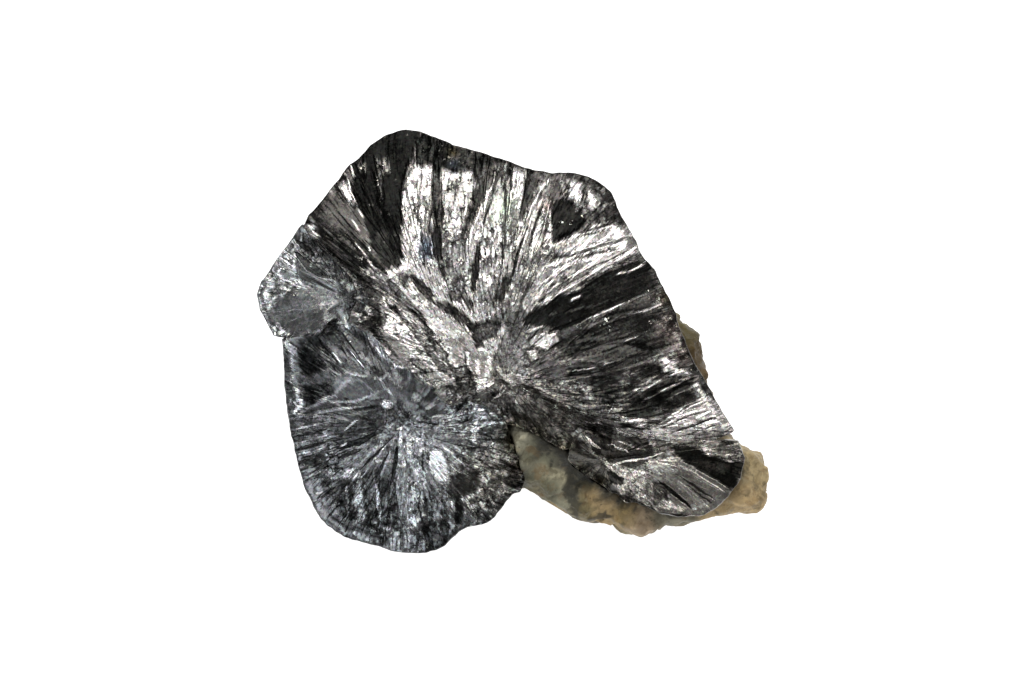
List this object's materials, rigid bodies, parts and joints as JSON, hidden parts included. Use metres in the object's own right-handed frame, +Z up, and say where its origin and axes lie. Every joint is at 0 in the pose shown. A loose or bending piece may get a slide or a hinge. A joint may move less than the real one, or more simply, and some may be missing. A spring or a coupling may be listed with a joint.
{
  "type": "molybdenite rosettes on matrix, mineral specimen",
  "caption": "Metallic lead-grey molybdenite in radiating leafy rosettes, grown together on a flat-based lump of tan quartz and feldspar matrix.",
  "frame": {"origin": "middle of the bounding box's base, on the rock's flat underside", "axes": "+Z up, out of the leafy face that is shown; +X along the specimen's longest side, from the small left fan to the bare corner of the rock; +Y towards the rounded top of the main rosette"},
  "size_m": [0.0722, 0.0602, 0.0246],
  "materials": {
    "molybdenite": "satin",
    "matrix": "matte"
  },
  "bodies": {
    "root": {"main_rosette": "molybdenite", "lower_rosette": "molybdenite", "left_fan": "molybdenite", "right_fan": "molybdenite", "matrix_rock": "matrix"}
  },
  "joints": []
}
